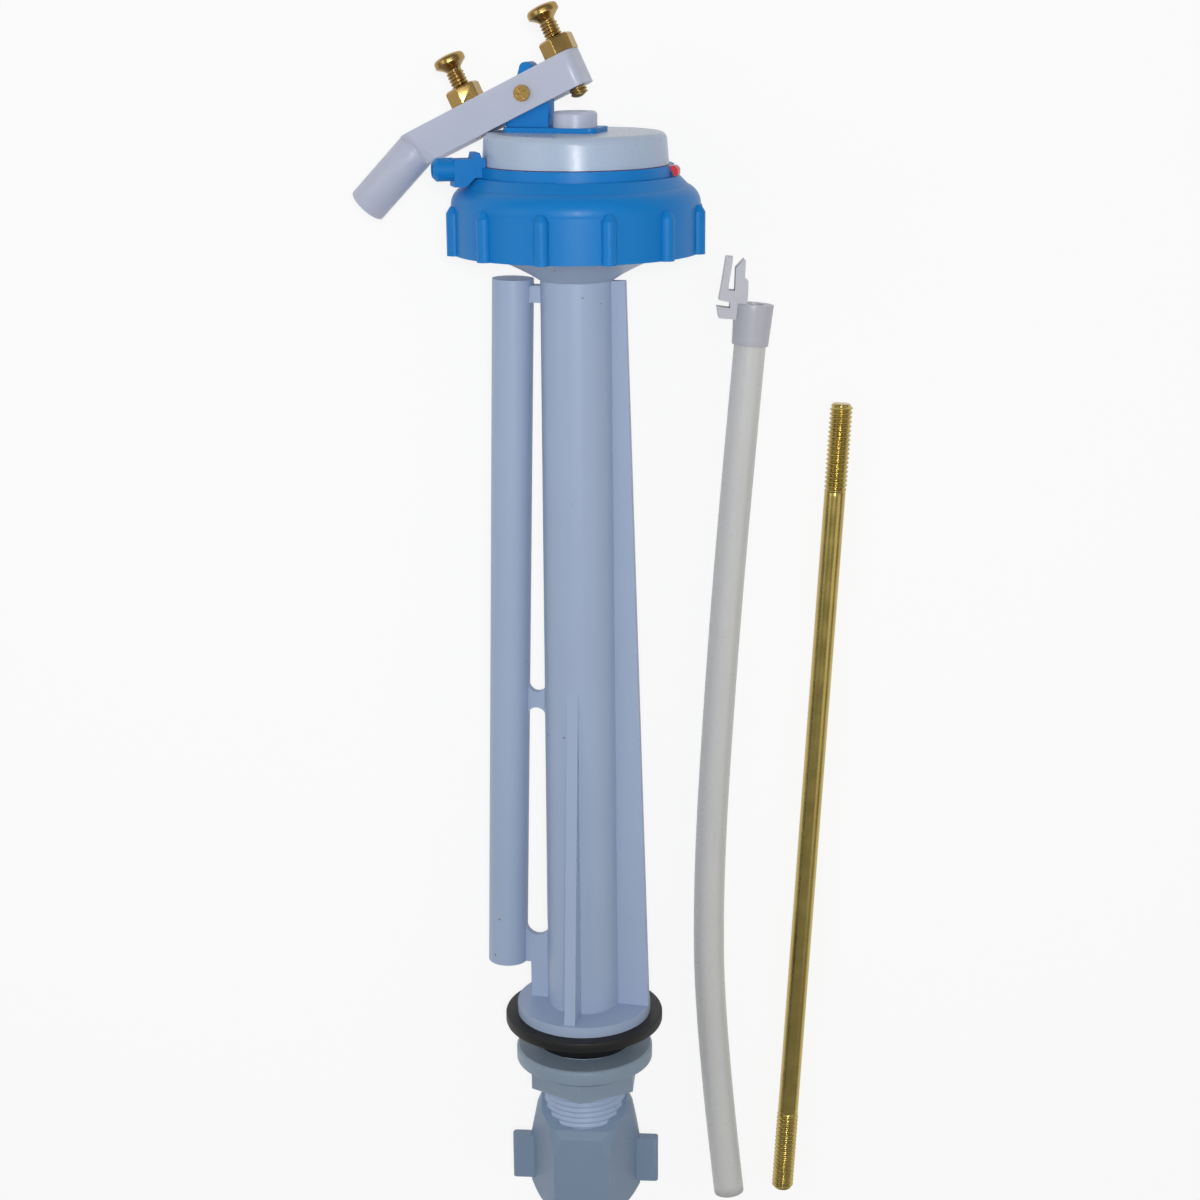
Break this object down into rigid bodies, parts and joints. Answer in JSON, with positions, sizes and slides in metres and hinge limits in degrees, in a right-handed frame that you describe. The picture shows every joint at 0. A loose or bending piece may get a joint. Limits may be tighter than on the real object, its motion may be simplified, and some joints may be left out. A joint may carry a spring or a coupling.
{
  "type": "anti-siphon fill valve",
  "caption": "Upright diaphragm fill valve for a toilet tank, with its float lever, nuts, loose refill tube with clip and float rod.",
  "frame": {"origin": "on the valve's axis at the mouth of the coupling nut, with the set lying on a table", "axes": "+Z is the table's normal, +Y runs along the valve towards its cap, +X is towards the loose tube and rod"},
  "size_m": [0.1348, 0.3432, 0.0664],
  "materials": {
    "riser_plastic": "satin moulded polypropylene",
    "inlet_plastic": "moulded",
    "blue_plastic": "moulded acetal",
    "cap_plastic": "moulded",
    "lever_plastic": "milky moulded acetal",
    "nut_plastic": "moulded",
    "coupling_plastic": "moulded",
    "black_rubber": "matt",
    "red_rubber": "smooth",
    "screw_brass": "turned",
    "rod_brass": "drawn",
    "tube_plastic": "extruded vinyl",
    "clip_plastic": "moulded"
  },
  "bodies": {
    "root": {"riser": "riser_plastic", "inlet_tube": "inlet_plastic", "clamp_ring": "blue_plastic", "valve_body": "blue_plastic", "pivot_bracket": "blue_plastic", "cap": "cap_plastic", "sealing_washer": "black_rubber", "supply_washer": "black_rubber", "cup_gasket": "black_rubber", "check_flap": "black_rubber", "diaphragm": "red_rubber", "pivot_screw": "screw_brass", "float_rod": "rod_brass", "refill_tube": "tube_plastic", "tube_clip": "clip_plastic"},
    "lock_nut": {"lock_nut": "nut_plastic"},
    "coupling_nut": {"coupling_nut": "coupling_plastic"},
    "lever": {"lever": "lever_plastic", "plunger_screw_nut": "screw_brass", "level_screw_nut": "screw_brass"},
    "plunger": {"plunger": "lever_plastic"},
    "plunger_screw": {"plunger_screw": "screw_brass"},
    "level_screw": {"level_screw": "screw_brass"}
  },
  "joints": [
    {"name": "lever_pivot", "type": "hinge", "parent": "root", "child": "lever", "pos_m": [-0.01176, 0.31424, 0.01195], "axis": [0.2924, 0.0473, -0.9551], "range_deg": [0, 24]},
    {"name": "plunger_travel", "type": "slide", "parent": "root", "child": "plunger", "axis": [0, -0.9988, -0.0494], "range_m": [0, 0.0017]},
    {"name": "plunger_screw_turn", "type": "hinge", "parent": "lever", "child": "plunger_screw", "pos_m": [-0.00125, 0.31937, 0.01542], "axis": [-0.4147, 0.9062, -0.0821], "continuous": true},
    {"name": "level_screw_turn", "type": "hinge", "parent": "lever", "child": "level_screw", "pos_m": [-0.02555, 0.30752, 0.00739], "axis": [-0.4147, 0.9062, -0.0821], "continuous": true},
    {"name": "coupling_nut_turn", "type": "hinge", "parent": "root", "child": "coupling_nut", "pos_m": [0, 0, 0], "axis": [0, 0.9988, 0.0494], "continuous": true},
    {"name": "lock_nut_turn", "type": "hinge", "parent": "root", "child": "lock_nut", "pos_m": [0, 0.03845, 0.0019], "axis": [0, 0.9988, 0.0494], "continuous": true}
  ],
  "couplings": [
    {"joint": "plunger_travel", "follows": "lever_pivot", "m_per_rad": 0.00406}
  ]
}
